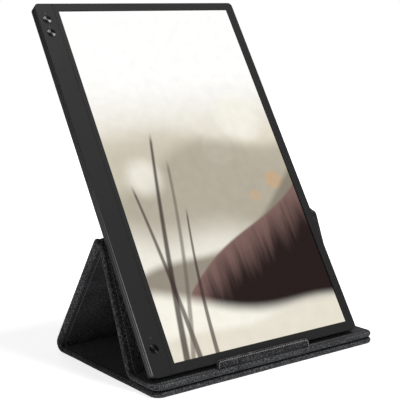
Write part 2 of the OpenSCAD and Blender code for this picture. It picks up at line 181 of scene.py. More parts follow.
class FabricColours(bpy.types.PropertyGroup):
    """Colours of the fabric and the thread."""

    yarn: shade("Yarn", (0.014, 0.0143, 0.0158), "Dark yarn of the fabric")
    fleck: shade("Fleck", (0.30, 0.304, 0.32),
                 "Pale yarn mixed into the fabric")
    thread: shade("Thread", (0.27, 0.274, 0.28), "Thread of the cover's seams")
    lip_thread: shade("Lip thread", (0.88, 0.885, 0.89),
                      "Paler thread of the lip")


class CaseColours(bpy.types.PropertyGroup):
    """Colours of the moulded parts."""

    bezel: shade("Bezel", (0.029, 0.029, 0.0295), "Front of the housing")
    housing: shade("Housing", (0.0065, 0.0065, 0.007), "Back of the housing")
    # Edges: colour of the painted highlight on the left side's chamfer and parting line.
    edge: shade("Edges", (0.58, 0.58, 0.59),
                "Rubbed edges along the left side")
    button: shade("Buttons", (0.075, 0.075, 0.078), "Spun face of the buttons")
    mark: shade("Marks", (0.11, 0.11, 0.115),
                "Small printed marks above the buttons")


class PictureColours(bpy.types.PropertyGroup):
    """Colours of the picture on the display: hills in warm haze."""

    sky: shade("Sky", (1.0, 0.995, 0.98), "Bright sky at the top")
    haze: shade("Haze", (0.78, 0.72, 0.58), "Warm haze between the hills")
    far_hill: shade("Far hill", (0.30, 0.26, 0.20), "Furthest row of hills")
    near_hill: shade("Near hill", (0.018, 0.010, 0.009), "Nearest hill")
    sand: shade("Sand", (0.93, 0.90, 0.80), "Pale ground in front")


class StageSizes(bpy.types.PropertyGroup):
    """Camera and light."""

    azimuth: degrees("Azimuth", 34.65, "How far the camera stands to the left")
    elevation: degrees("Elevation", 8.86, "How far the camera looks down")
    roll: degrees("Roll", 1.79,
                  "Turn of the camera about its own line of sight")
    place: FloatVectorProperty(
        name="Camera", subtype="TRANSLATION",
        default=(-0.53037, -0.74832, 0.28398),
        description="Where the camera stands")
    lens: FloatProperty(
        name="Lens", default=90.14, unit="CAMERA",
        description="Focal length in millimetres on a 36 mm sensor")
    key: watts("Key light", 80.0, "Power of the large lamp above")
    fill: watts("Fill light", 0.26, "Power of the lamp at the left")
    back: watts("Back light", 5.5, "Power of the lamp behind")
    floor_side: metres("Floor", 8.0, "Side of the square floor")
    floor_cells: IntProperty(
        name="Floor cells", default=8,
        description="Squares along one side of the floor")


# Mesh helpers ------------------------------------------------------------

def stacked(*parts):
    """Arrays, brought to one shape, as the columns of a new last axis."""
    return np.stack(np.broadcast_arrays(*parts), -1)


def length_along(line):
    """Length along the first axis of an array of points, from 0."""
    run = np.cumsum(np.linalg.norm(np.diff(line, axis=0), axis=-1), 0)
    return np.concatenate([np.zeros_like(run[:1]), run])


def points_along(line, at):
    """Points of a flat line at the given lengths along it."""
    run = length_along(line)
    return stacked(*(np.interp(at, run, column) for column in line.T))


def even_points(line, count):
    """That many points at even steps from end to end of a flat line."""
    return points_along(line, np.linspace(0, length_along(line)[-1], count))


def quarter_arc(radius, count):
    """A quarter circle that starts at 0, 0 upwards and bends to the right:
    (r - r cos t, r sin t)."""
    t = np.linspace(0, math.pi / 2, count)
    return radius * stacked(1 - np.cos(t), np.sin(t))


def grid_faces(rows, columns, start=0, flip=False):
    """Quads of a grid of rows by columns vertices, numbered row by row."""
    i = np.arange(rows - 1)[:, None] * columns + np.arange(columns - 1)
    quads = start + stacked(i, i + 1, i + columns + 1, i + columns)
    return quads.reshape(-1, 4)[:, ::-1 if flip else 1]


def ring_faces(rings, n):
    """Quads between closed rings of n points, numbered ring by ring."""
    c, r = np.arange(n), np.arange(rings - 1)[:, None] * n
    after = (c + 1) % n
    return stacked(r + c, r + after, r + n + after,
                   r + n + c).reshape(-1, 4)


def ends_closed(quads, n):
    """The quads with the first ring's n corners as one, and the last's."""
    last = quads.max()
    quads = np.where(quads < n, 0, quads)
    return np.where(quads > last - n, last, quads)


def make_mesh(name, points, quads, uv=None, inset=None, smooth=True):
    """A mesh object from whole arrays: n by 3 points and m by 4 vertex
    numbers, with one UV per vertex (n by 2) or per corner (m by 4 by 2)
    and one distance in from the cloth's edge, where given. A corner that
    repeats the next one is left out, which makes a triangle, and so is a
    point that no face uses."""
    quads = np.asarray(quads)
    kept = quads != np.roll(quads, -1, 1)
    faces = kept.sum(1) > 2
    kept &= faces[:, None]
    used, corners = np.unique(quads[kept], return_inverse=True)
    total = kept.sum(1)[faces]
    mesh = bpy.data.meshes.new(name)
    mesh.vertices.add(len(used))
    mesh.vertices.foreach_set("co", np.float32(points)[used].ravel())
    mesh.loops.add(len(corners))
    mesh.loops.foreach_set("vertex_index", corners.astype(np.int32).ravel())
    mesh.polygons.add(len(total))
    mesh.polygons.foreach_set("loop_start", np.cumsum(total) - total)
    mesh.polygons.foreach_set("loop_total", total)
    mesh.polygons.foreach_set("use_smooth", np.full(len(total), smooth))
    mesh.update(calc_edges=True)
    if uv is not None:
        layer = mesh.uv_layers.new(name="UVMap")
        uv = np.asarray(uv, np.float32)
        placed = uv if uv.ndim == 3 else uv[quads]
        layer.data.foreach_set("uv", placed[kept].ravel())
    if inset is not None:
        made = mesh.attributes.new("inset", "FLOAT", "POINT")
        made.data.foreach_set("value", np.float32(inset)[used])
    if mesh.validate():
        raise RuntimeError("faulty faces in " + name)
    made = bpy.data.objects.new(name, mesh)
    bpy.context.scene.collection.objects.link(made)
    return made


def on_screen(points):
    """Points of the monitor's own frame, in the row frame. There x runs
    across, y out of the rear and z up the screen, from the middle of its
    lower rest edge, and the screen leans back about that edge."""
    c, s = math.cos(SCREEN_LEAN), math.sin(SCREEN_LEAN)
    x, y, z = np.moveaxis(points, -1, 0)
    return stacked(SCREEN_MIDDLE + x, SCREEN_FOOT[0] + y * c + z * s,
                   SCREEN_FOOT[1] - y * s + z * c)


def screen_box(node):
    """A CAD node's corners in the monitor's own frame."""
    mesh = frame["nodes"][node].data
    co = np.empty(len(mesh.vertices) * 3)
    mesh.vertices.foreach_get("co", co)
    c, s = math.cos(SCREEN_LEAN), math.sin(SCREEN_LEAN)
    x, y, z = co.reshape(-1, 3).T - [[SCREEN_MIDDLE], *SCREEN_FOOT[:, None]]
    local = stacked(x, y * c - z * s, y * s + z * c)
    return local.min(0), local.max(0)


# Node helpers ------------------------------------------------------------

class Value:
    """An output of a node. Sums, differences, products and absolute values
    of it are Math nodes."""

    def __init__(self, tree, socket):
        self.tree, self.socket = tree, socket

    def __add__(self, other):
        return self.tree.math("ADD", self, other)

    def __sub__(self, other):
        return self.tree.math("SUBTRACT", self, other)

    def __rsub__(self, other):
        return self.tree.math("SUBTRACT", other, self)

    def __mul__(self, other):
        return self.tree.math("MULTIPLY", self, other)

    def __abs__(self):
        return self.tree.math("ABSOLUTE", self)

    __radd__, __rmul__ = __add__, __mul__


class Node:
    """A node in a Tree. Its inputs are fed by keyword, with _ for a space
    or before a number, and an output is a Value, by name or number."""

    def __init__(self, tree, node, **inputs):
        self.tree, self.node = tree, node
        self.feed(**inputs)

    def feed(self, **inputs):
        for key, value in inputs.items():
            key = key.replace("_", " ").strip()
            socket = self.node.inputs[int(key) if key.isdigit() else key]
            if isinstance(value, Value):
                self.tree.tree.links.new(value.socket, socket)
            elif socket.type == "RGBA":
                socket.default_value = (*value, 1.0)
            else:
                socket.default_value = value

    def __getitem__(self, key):
        return Value(self.tree, self.node.outputs[key])


class Tree:
    """Adds nodes to a node tree and joins them, a line per node."""

    def __init__(self, tree):
        self.tree = tree

    def add(self, kind, settings=None, **inputs):
        node = self.tree.nodes.new(kind)
        for key, value in (settings or {}).items():
            setattr(node, key, value)
        return Node(self, node, **inputs)

    def group(self, name, **inputs):
        return self.add("ShaderNodeGroup", {"node_tree": the_group(name)},
                        **inputs)

    def math(self, operation, a, b=0.0):
        return self.add("ShaderNodeMath", {"operation": operation},
                        _0=a, _1=b)[0]

    def vector(self, operation, a, **inputs):
        return self.add("ShaderNodeVectorMath", {"operation": operation},
                        _0=a, **inputs)

    def mix(self, factor, a, b):
        return self.add("ShaderNodeMix", {"data_type": "RGBA"}, _0=factor,
                        _6=a, _7=b)[2]

    def ramp(self, value, low, high):
        """0 at low, 1 at high and smooth between, also where low is the
        larger."""
        return self.add("ShaderNodeMapRange",
                        {"interpolation_type": "SMOOTHSTEP"}, Value=value,
                        From_Min=low, From_Max=high)["Result"]

    def noise(self, vector, scale, detail=2.0, rough=0.5):
        """Noise of one scale, or of one for each axis."""
        if isinstance(scale, tuple):
            vector = self.add("ShaderNodeMapping", Vector=vector,
                              Scale=scale)["Vector"]
            scale = 1.0
        return self.add("ShaderNodeTexNoise", Vector=vector, Scale=scale,
                        Detail=detail, Roughness=rough)["Fac"]

    def bump(self, height, distance, strength=1.0):
        """A normal from a height in metres times distance."""
        return self.add("ShaderNodeBump", Strength=strength,
                        Distance=distance, Height=height)["Normal"]

    def seen(self, *kinds):
        """1 for rays from the camera or of the given kinds, and else 0."""
        path = self.add("ShaderNodeLightPath")
        mask = path["Is Camera Ray"]
        for kind in kinds:
            mask = self.math("MAXIMUM", mask, path[kind])
        return mask


def new_group(name, outputs, **inputs):
    """A shader node group as its tree, its inputs and its outputs. Vector
    comes in first, and the rest are numbers or colours as their defaults
    are. An output called Color is a colour, and the rest are numbers."""
    group = bpy.data.node_groups.new(name, "ShaderNodeTree")

    def socket(way, key, kind):
        return group.interface.new_socket(key, in_out=way,
                                          socket_type="NodeSocket" + kind)

    socket("INPUT", "Vector", "Vector")
    for key, value in inputs.items():
        kind = "Float" if isinstance(value, float) else "Color"
        socket("INPUT", key, kind).default_value = value
    for key in outputs:
        socket("OUTPUT", key, "Color" if key == "Color" else "Float")
    tree = Tree(group)
    return tree, tree.add("NodeGroupInput"), tree.add("NodeGroupOutput")


def woven_group():
    """Woven melange fabric. Two sets of yarn cross at right angles along U
    and V, one pitch apart. Each yarn's pale flecks are long along the yarn
    and thin across it."""
    t, given, out = new_group(
        "Woven fabric", ("Color", "Height", "Roughness"),
        Yarn=(0.03, 0.03, 0.03, 1), Fleck=(0.08, 0.08, 0.08, 1),
        Pitch=0.0007, Flecks=0.6)
    place, gap = given["Vector"], (0.004, 0.004, 0.005)
    split = t.add("ShaderNodeSeparateXYZ", Vector=place)
    turns = t.math("DIVIDE", math.pi, given["Pitch"])
    over = (t.math("SINE", split["X"] * turns)
            * t.math("SINE", split["Y"] * turns))
    # Flecks, and clouds of more and fewer of them, per metre of cloth.
    along, across, clouds = 330, 1500, 38.0
    warp = t.noise(place, (along, across, 1), 0.5)
    weft = t.noise(place, (across, along, 1), 0.5)
    yarns = t.ramp(warp, 0.45, 0.66) + t.ramp(weft, 0.47, 0.68)
    pale = (yarns * given["Flecks"]
            * (t.noise(place, clouds, 1.0) * 1.3 + 0.05))
    yarn = t.mix(pale, given["Yarn"], given["Fleck"])
    out.feed(Color=t.mix(0.62 + over * 0.38, gap, yarn),
             Height=over * 0.5 + (warp + weft) * 0.6,
             Roughness=0.98 - pale * 0.12)
    return t.tree


def grain_group():
    """Fine spark-eroded grain of a moulded part: two noises, a fine one for
    the grain and a slow one for wear and handling."""
    t, given, out = new_group(
        "Moulded grain", ("Color", "Height", "Roughness"),
        Color=(0.04, 0.04, 0.04, 1), Grain=2600.0, Roughness=0.5,
        Unevenness=0.12)
    fine = t.noise(given["Vector"], given["Grain"], 3.0, 0.7)
    slow = t.noise(given["Vector"], 22.0, 3.0, 0.55)
    shift = (slow - 0.5) * given["Unevenness"]
    light = 1.0 + shift + (fine - 0.5) * given["Unevenness"]
    out.feed(Color=t.vector("SCALE", given["Color"], Scale=light)[0],
             Height=fine, Roughness=given["Roughness"] + shift)
    return t.tree


def edge_highlight_group():
    """Painted highlight on the edges of the monitor's left side: a pale band that
    stands for light on those edges, as a band of depth behind the screen's
    front. The mask is 1 in the band within a millimetre of that side, and
    fades up the screen."""
    t, given, out = new_group(
        "Rubbed edge", ("Color",), Color=(0.04, 0.04, 0.04, 1),
        Edge=(0.4, 0.4, 0.4, 1), From=0.0, To=0.0005)
    c, s = math.cos(SCREEN_LEAN), math.sin(SCREEN_LEAN)
    # Distances along the monitor's axes from the bezel's left front foot.
    across, depth, up = (
        t.vector("DOT_PRODUCT", given["Vector"], _1=axis)["Value"]
        - float(np.dot(axis, (SCREEN_MIDDLE, *SCREEN_FOOT)) + start)
        for axis, start in zip([(1, 0, 0), (0, c, -s), (0, s, c)],
                               screen_box("front_bezel")[0]))
    mask = (t.math("GREATER_THAN", depth, given["From"])
            * t.math("LESS_THAN", depth, given["To"])
            * t.ramp(across, 1.2 * MM, 0.8 * MM) * t.ramp(up, 0.21, 0.01))
    out.feed(Color=t.mix(mask, given["Color"], given["Edge"]))
    return t.tree


def the_group(name):
    """A node group, made the first time that it is asked for."""
    makers = {"Woven fabric": woven_group, "Moulded grain": grain_group,
              "Rubbed edge": edge_highlight_group}
    return bpy.data.node_groups.get(name) or makers[name]()


def principled(name, **settings):
    """A new material, its tree, its Principled shader and its texture
    coordinates."""
    material = bpy.data.materials.new(name)
    material.use_nodes = True
    tree = Tree(material.node_tree)
    shader = Node(tree, material.node_tree.nodes["Principled BSDF"],
                  **settings)
    return material, tree, shader, tree.add("ShaderNodeTexCoord")


def fabric_material(name, colours, pitch, flecks, sewn=False):
    """Woven cloth on the piece's UV map, which is in metres. Sewn cloth has
    painted shade: a dark line along its seam, where it is pulled down, and
    another where the rolled edge ends. A painted highlight makes the roll paler."""
    material, t, shader, place = principled(
        name, Sheen_Weight=0.25, Sheen_Roughness=0.45,
        Specular_IOR_Level=0.25)
    cloth = t.group("Woven fabric", Vector=place["UV"], Yarn=colours.yarn,
                    Fleck=colours.fleck, Pitch=pitch, Flecks=flecks)
    colour = cloth["Color"]
    if sewn:
        inset = t.add("ShaderNodeAttribute",
                      {"attribute_name": "inset"})["Fac"]
        # Painted shade in the seam's groove and in the crease where the roll ends, and a painted highlight on the
        # rolled edge.
        seam = t.ramp(abs(inset - SEAM_INSET), 1.1 * MM, 0.2 * MM)
        fold = t.ramp(abs(inset - ROLL_INSET), 1.0 * MM, 0.1 * MM)
        roll = t.ramp(inset, 3.0 * MM, 1.4 * MM)
        light = (0.9 + roll * 0.8
                 - t.math("MAXIMUM", seam, fold * 0.8) * 0.6)
        colour = t.vector("SCALE", colour, Scale=light)[0]
    shader.feed(Base_Color=colour, Roughness=cloth["Roughness"],
                Normal=t.bump(cloth["Height"], 0.12 * MM, 0.8))
    return material


def moulded_material(name, colour, rough, grain=2600.0, uneven=0.12,
                     edge=None, **settings):
    """Moulded plastic, or another plain material with a fine surface. Edge
    is the colour, start and end of a band of painted edge highlight."""
    material, t, shader, place = principled(name, **settings)
    made = t.group("Moulded grain", Vector=place["Object"], Color=colour,
                   Grain=grain, Roughness=rough, Unevenness=uneven)
    shown = made["Color"]
    # A painted highlight: a pale band along the left side's edges.
    if edge:
        tone, start, end = edge
        shown = t.group("Rubbed edge", Vector=place["Object"], Color=shown,
                        Edge=tone, From=start, To=end)["Color"]
    shader.feed(Base_Color=shown, Roughness=made["Roughness"],
                Normal=t.bump(made["Height"], 0.03 * MM))
    return material


def give(obj, material):
    """Puts one material on an object."""
    obj.data.materials.clear()
    obj.data.materials.append(material)


# The cover's shape -------------------------------------------------------

def heading(way):
    """Unit vector (y, z) at an angle from +Y to +Z."""
    return np.array([math.cos(way), math.sin(way)])


def outward(way):
    """Unit vector out of the cover's outside, where the strip runs at way."""
    return np.array([math.sin(way), -math.cos(way)])


def bell(x, width):
    """1 at 0 and falling: e to the minus square of x over the width."""
    return np.exp(-(x / width) ** 2)


def smooth_step(t):
    """The smooth step from 0 to 1: 3 t squared less 2 t cubed."""
    t = np.clip(t, 0, 1)
    return t ** 2 * (3 - 2 * t)


class CoverStrip:
    """The cover as one strip: base, back fold, rear panel, top fold, support
    panel, bend and ledge. s runs along its middle line from the front edge
    of the base to the front edge of the ledge, x runs across, and n is the
    height above the middle line, towards the lining."""

    def __init__(self, sizes):
        self.half, self.sizes = PANEL_THICK / 2, sizes
        # The first two folds turn the same way, so the rear panel is
        # parallel to the line between them.
        rear = APEX_FOLD - BACK_FOLD
        ways = [0.0, math.atan2(rear[1], rear[0]), self.support_way(),
                math.pi]
        self.lay(ways, self.corners(ways), [
            sizes.back_radius, sizes.apex_radius, sizes.bend_radius])

    def support_way(self):
        """Direction of the support panel, down from the top fold. It passes
        outside one pivot and inside the other, so it crosses the line
        between them at the angle whose sine is the offset over the length."""
        line = LEDGE_FOLD - APEX_FOLD
        offset = 2 * FOLD_OUTER - PANEL_THICK
        tilt = math.asin(offset / np.hypot(*line))
        return math.atan2(line[1], line[0]) % math.tau + tilt

    def corners(self, ways):
        """Where the middle lines of neighbouring panels cross, and the
        ends. Each line runs at the fold's middle radius beside its pivot."""
        middle = FOLD_OUTER - self.half
        lines = [(place + middle * outward(way), heading(way))
                 for way, place in zip(ways, (BACK_FOLD, BACK_FOLD,
                                              APEX_FOLD))]
        lines.append((LEDGE_FOLD - middle * outward(ways[3]),
                      heading(ways[3])))
        points = [p + np.linalg.solve(np.stack([d, -e], 1), q - p)[0] * d
                  for (p, d), (q, e) in zip(lines, lines[1:])]
        start, end = (np.array([COVER_FRONT, lines[i][0][1]])
                      for i in (0, 3))
        return [start, *points, end]

    def lay(self, ways, corners, radii):
        """Straight runs and tangent arcs, as a list of start length, start
        point, direction and curvature."""
        self.knots, s, place = [], 0.0, corners[0]
        for way, after, corner, radius in zip(
                ways, [*ways[1:], ways[-1]], corners[1:], [*radii, 0.0]):
            turn = after - way
            back = abs(math.tan(turn / 2)) * radius
            length = np.hypot(*(corner - place)) - back
            self.knots.append((s, place, way, 0.0))
            place = place + heading(way) * length
            s += length
            if turn:
                bend = math.copysign(1 / radius, turn)
                self.knots.append((s, place, way, bend))
                s += abs(turn) * radius
                place = corner + heading(after) * back
        self.length = s

    def part(self, i):
        """Start and end along the strip of run i: 0 base, 1 back fold, 2
        rear, 3 top fold, 4 support, 5 bend and 6 ledge."""
        ends = [k[0] for k in self.knots] + [self.length]
        return ends[i], ends[i + 1]

    def middle(self, s):
        """Point and lining-side normal of the middle line at s. On an arc
        of curvature k that starts in direction a, the point moves by
        (sin(a + k t) - sin a, cos a - cos(a + k t)) / k after a length t."""
        starts, place, way, bend = (np.array(k) for k in zip(*self.knots))
        i = np.clip(np.searchsorted(starts, s, "right") - 1, 0, None)
        t, way, bend = s - starts[i], way[i], bend[i]
        now, flat = way + bend * t, bend == 0
        k = np.where(flat, 1.0, bend)
        dy = np.where(flat, t * np.cos(way), (np.sin(now) - np.sin(way)) / k)
        dz = np.where(flat, t * np.sin(way), (np.cos(way) - np.cos(now)) / k)
        return (place[i, 0] + dy, place[i, 1] + dz, -np.sin(now),
                np.cos(now))

    def inset(self, s, x):
        """Distance in from the outline, a rectangle with round corners."""
        r = self.sizes.corner
        end = np.minimum(s, self.length - s)
        side = COVER_WIDTH / 2 - np.abs(x)
        return np.where((side < r) & (end < r),
                        r - np.hypot(r - side, r - end),
                        np.minimum(side, end))

    def half_width(self, s):
        """Half of the width at s: smaller near the ends, by the corner's
        circle."""
        r = self.sizes.corner
        end = np.clip(np.minimum(s, self.length - s), 0, r)
        return COVER_WIDTH / 2 - r + np.sqrt(r * r - (r - end) ** 2)

    def surface(self, s, x, side):
        """Points of the face on one side of the strip: side 1 is the lining
        and side -1 the outside. The height over the middle line is that of
        a round edge, and the seam, the line inside the rolled edge, the
        swollen edge, slow ripples and the folds' wrinkles move it. The rear
        panel's outside and its edges stand off by a swelling that grows
        upwards, and its lining stays over the board. The monitor and the
        lip press the outside of the support panel and the ledge flat."""
        sizes, e, lining = self.sizes, self.half, side > 0
        d = np.clip(self.inset(s, x), 0, None)
        edge = np.sqrt(np.clip(e * e - np.clip(e - d, 0, None) ** 2, 0, None))
        seam = bell(d - SEAM_INSET, 0.7 * MM)
        roll = bell(d - ROLL_INSET, 0.5 * MM) * lining
        swell = np.sin(np.pi * np.clip(d / SEAM_INSET, 0, 1)) ** 2
        inside = np.clip((d - SEAM_INSET) / (1 * MM), 0, 1) * lining
        # The waves' numbers are radians per metre along and across.
        slow = (np.sin(s * 61 + x * 23 + side) * np.sin(x * 47 + s * 11)
                + 0.5 * np.sin(s * 139 + 1.7) * np.sin(x * 97 + side * 2))
        tight = sum(bell(s - (a + b) / 2, (b - a) * 0.45)
                    for a, b in map(self.part, (1, 3, 5)))
        wrinkle = np.sin(s * 2600 + 0.8 * np.sin(x * 90)) * tight
        pressed = np.clip((s - sum(self.part(3)) / 2) / (3 * MM), 0, 1)
        free = 1 - pressed * (side < 0)
        height = edge + np.clip(d / e, 0, 1) * (
            free * (sizes.puff * swell + sizes.ripple * slow)
            - sizes.groove * (seam + 0.7 * roll) - 0.1 * MM * (1 - free)
            - 0.5 * sizes.puff * inside
            - (0.18 if lining else 0.07) * MM * wrinkle * free)
        start, end = self.part(2)
        along = np.clip((s - start) / (end - start), 0, 1)
        into = np.clip(d / (1.2 * e), 0, 1) ** 2
        share = 0.8 + into * (-0.8 if lining else 0.2)
        bow = -share * self.swell(s) * (sizes.swell + sizes.bow * along)
        y, z, ny, nz = self.middle(s)
        n = bow + side * height
        return np.stack([x, y + n * ny, np.maximum(z + n * nz, 0.0)], -1)

    def swell(self, s):
        """Share of the rear panel's swelling: it grows over the back fold,
        is whole on the panel and ends where the top fold is highest."""
        (a, b), (fold, _) = self.part(1), self.part(3)
        top = (math.pi - self.knots[3][2]) * self.sizes.apex_radius
        return (smooth_step((s - a) / (b - a))
                * smooth_step(1 - (s - fold) / top))


# Distances in from an edge, close together at the seam and the roll's end.
EDGE_STEPS = np.array([0, 0.03, 0.12, 0.26, 0.5, 0.85, 1.3, 1.8, 2.3, 2.6, 2.9,
                       3.2, 3.6, 4.3, 5.1, 5.6, 6.0, 6.3, 6.5, 6.7, 7.0, 7.4,
                       7.9, 8.9, 11.0]) * MM


def across_positions():
    """Places across the strip as shares of its half width, close together
    at the edges and the seams."""
    half = COVER_WIDTH / 2
    near = np.concatenate([EDGE_STEPS, np.arange(16 * MM, half, 5 * MM)])
    near = near[near < half] / half - 1
    return np.concatenate([near, [0.0], -near[::-1]])


def along_positions(strip, start, end):
    """Places along the strip between start and end: every 3 mm on a panel,
    0.7 mm in a fold, and close together at a free end."""
    edges = [EDGE_STEPS, strip.length - EDGE_STEPS]
    stops = [*edges]
    for i in range(7):
        a, b = strip.part(i)
        step = 0.7 * MM if i % 2 else 3 * MM
        stops.append(np.linspace(a, b, max(2, int(round((b - a) / step)))))
    every = np.concatenate(stops)
    inside = every[(every > start + 0.1 * MM) & (every < end - 0.1 * MM)]
    near = np.sort(np.concatenate([inside, *(e[:4] for e in edges)]))
    near = near[(near > start) & (near < end)]
    keep = np.concatenate([[True], np.diff(near) > 0.015 * MM])
    return np.concatenate([[start], near[keep], [end]])


def cloth_place(face, start):
    """UV of one face in metres of cloth: U is the length along the middle
    column from start, and V the length along each row from that column."""
    middle = face.shape[1] // 2
    v = length_along(face.swapaxes(0, 1)).T
    u = start + length_along(face[:, middle])
    return stacked(u[:, None], v - v[:, [middle]]).reshape(-1, 2)


def cover_piece(name, strip, start, end):
    """A stretch of the strip as a closed shell: the lining face and the
    outer face share their side edges and any free end, and a flat cap
    closes a cut. The outer face's weave is moved over from the lining's."""
    s, p = along_positions(strip, start, end), across_positions()
    rows, columns = len(s), len(p)
    count, weave_shift, touching = rows * columns, 0.31, 1e-6
    grid_s = np.repeat(s[:, None], columns, 1)
    grid_x = p * strip.half_width(s)[:, None]
    faces = [strip.surface(grid_s, grid_x, side) for side in (1, -1)]
    points = np.concatenate(faces).reshape(-1, 3)
    uv = np.concatenate([cloth_place(face, start) for face in faces])
    uv[count:, 1] += weave_shift
    inset = np.tile(strip.inset(grid_s, grid_x).ravel(), 2)
    corners = [grid_faces(rows, columns),
               grid_faces(rows, columns, count, True)]
    # The outer face takes the lining face's vertices where they meet.
    number = np.arange(2 * count)
    shared = np.zeros((rows, columns), bool)
    shared[:, [0, -1]] = True
    shared[0] |= start < touching
    shared[-1] |= end > strip.length - touching
    number[count:][shared.ravel()] = np.arange(count)[shared.ravel()]
    # A cut's cap has its own vertices, so that the cloth beside it is smooth.
    at = np.arange(2 * count)
    for row in (0, rows - 1):
        if shared[row].all():
            continue
        rim, first = np.arange(columns) + row * columns, len(at)
        at = np.concatenate([at, rim, rim + count])
        number = np.concatenate([number, first + np.arange(2 * columns)])
        number[[first + columns, -1]] = first, first + columns - 1
        corners.append(grid_faces(2, columns, first, row > 0))
    corners = np.concatenate(corners)
    return make_mesh(name, points[at], number[corners], uv[at][corners],
                     inset[at])


# Stitches ----------------------------------------------------------------

def stitch_mesh(name, centres, ways, ups, length, thread):
    """Short threads that bulge out of the cloth: each is a tube round its
    own way whose radius falls to a third at the ends, and whose middle
    stands higher than its ends by half a radius."""
    rings, sides, count = 5, 6, len(centres)
    t = np.linspace(-1, 1, rings)[:, None]
    a = np.arange(sides) / sides * math.tau
    radius = thread * np.sqrt(np.clip(1.1 - t ** 2, 0, 1))
    up = 0.5 * thread * (1 - t ** 2) + radius * np.sin(a)
    tube = stacked(t * length / 2, up, radius * np.cos(a)).reshape(-1, 3)
    ways = ways / np.linalg.norm(ways, axis=1)[:, None]
    ups = ups - (ups * ways).sum(1)[:, None] * ways
    ups = ups / np.linalg.norm(ups, axis=1)[:, None]
    axes = np.stack([ways, ups, np.cross(ways, ups)], 1)
    points = (centres[:, None] + tube @ axes).reshape(-1, 3)
    points[:, 2] = np.maximum(points[:, 2], 0.0)
    # Each end is closed by two quads.
    ends = np.array([[0, 5, 4, 3], [0, 3, 2, 1], [0, 1, 2, 3], [0, 3, 4, 5]])
    ends[2:] += (rings - 1) * sides
    one = np.concatenate([ring_faces(rings, sides), ends])[:, ::-1]
    number = np.arange(count)[:, None, None]
    uv = stacked(number * 0.01 + t * length / 2, a * thread).reshape(-1, 2)
    quads = (one + number * len(tube)).reshape(-1, 4)
    return make_mesh(name, points, quads, uv)


def seam_line(strip, pitch):
    """Places along the seam as (s, x): the outline moved in by the seam's
    inset, with small arcs at its corners, at even steps."""
    inset, r = SEAM_INSET, max(strip.sizes.corner - SEAM_INSET, 1 * MM)
    half_width, end = COVER_WIDTH / 2 - inset, strip.length - inset
    arc = quarter_arc(r, 9) + [0, half_width - r]
    half = np.concatenate([arc + [inset, 0], (arc * [-1, 1] + [end, 0])[::-1]])
    loop = np.concatenate([half, (half * [1, -1])[::-1], half[:1]])
    return points_along(loop, np.arange(0, length_along(loop)[-1], pitch))


def cover_stitches(name, strip, start, end, sizes):
    """Both faces' seam stitches on one stretch of the strip. A stitch's way
    is the difference of two surface points beside it, and its up is the
    surface's normal there."""
    line = seam_line(strip, sizes.pitch)
    step = 0.2 * (np.roll(line, -1, 0) - np.roll(line, 1, 0))
    keep = (line[:, 0] >= start) & (line[:, 0] < end)
    line, step = line[keep], step[keep]
    _, _, ny, nz = strip.middle(line[:, 0])
    normal = np.stack([0 * ny, ny, nz], -1)
    centres, ways, ups = [], [], []
    for side in (1, -1):
        here, ahead, behind = (strip.surface(*(line + k * step).T, side)
                               for k in (0, 1, -1))
        centres.append(here + side * normal * sizes.thread * 0.1)
        ways.append(ahead - behind)
        ups.append(side * normal)
    return stitch_mesh(name, np.concatenate(centres), np.concatenate(ways),
                       np.concatenate(ups), sizes.length, sizes.thread)


# Pieces of the monitor ---------------------------------------------------

def lathe_mesh(name, profile, place, turns=72):
    """A turned piece: a profile of (radius, depth) from the axis in front to
    the axis behind, carried round the axis that leaves the screen at place,
    (x, z). U is the turn and V the distance along the profile."""
    a = np.arange(turns) / turns * math.tau
    radius, depth = profile[:, :1], profile[:, 1:]
    points = stacked(place[0] + radius * np.cos(a), depth,
                     place[1] + radius * np.sin(a)).reshape(-1, 3)
    quads = ring_faces(len(profile), turns)
    u = quads % turns
    u[:, 1:3] += turns * (u[:, 1:3] < u[:, :1])
    uv = stacked(u / turns, length_along(profile)[quads // turns])
    return make_mesh(name, on_screen(points),
                     ends_closed(quads, turns)[:, ::-1], uv[:, ::-1])


def plate_mesh(name, x0, x1, z0, z1, y_front, y_back, bevel):
    """A plate in the monitor's frame with a bevelled front edge, as three
    rectangles, from the back's edge to the front's, and two flat faces. Its
    UV runs from 0 to 1 over the front."""
    low, high = np.array([x0, z0]), np.array([x1, z1])
    corner = np.array([[0, 0], [1, 0], [1, 1], [0, 1]])
    flat = np.concatenate([low + inset + corner * (high - low - 2 * inset)
                           for inset in (0, 0, bevel)])
    depth = np.repeat([y_back, y_front + bevel, y_front], 4)
    points = stacked(flat[:, 0], depth, flat[:, 1])
    quads = np.concatenate([ring_faces(3, 4), [[3, 2, 1, 0], [8, 9, 10, 11]]])
    return make_mesh(name, on_screen(points), quads,
                     (flat - low) / (high - low), smooth=False)


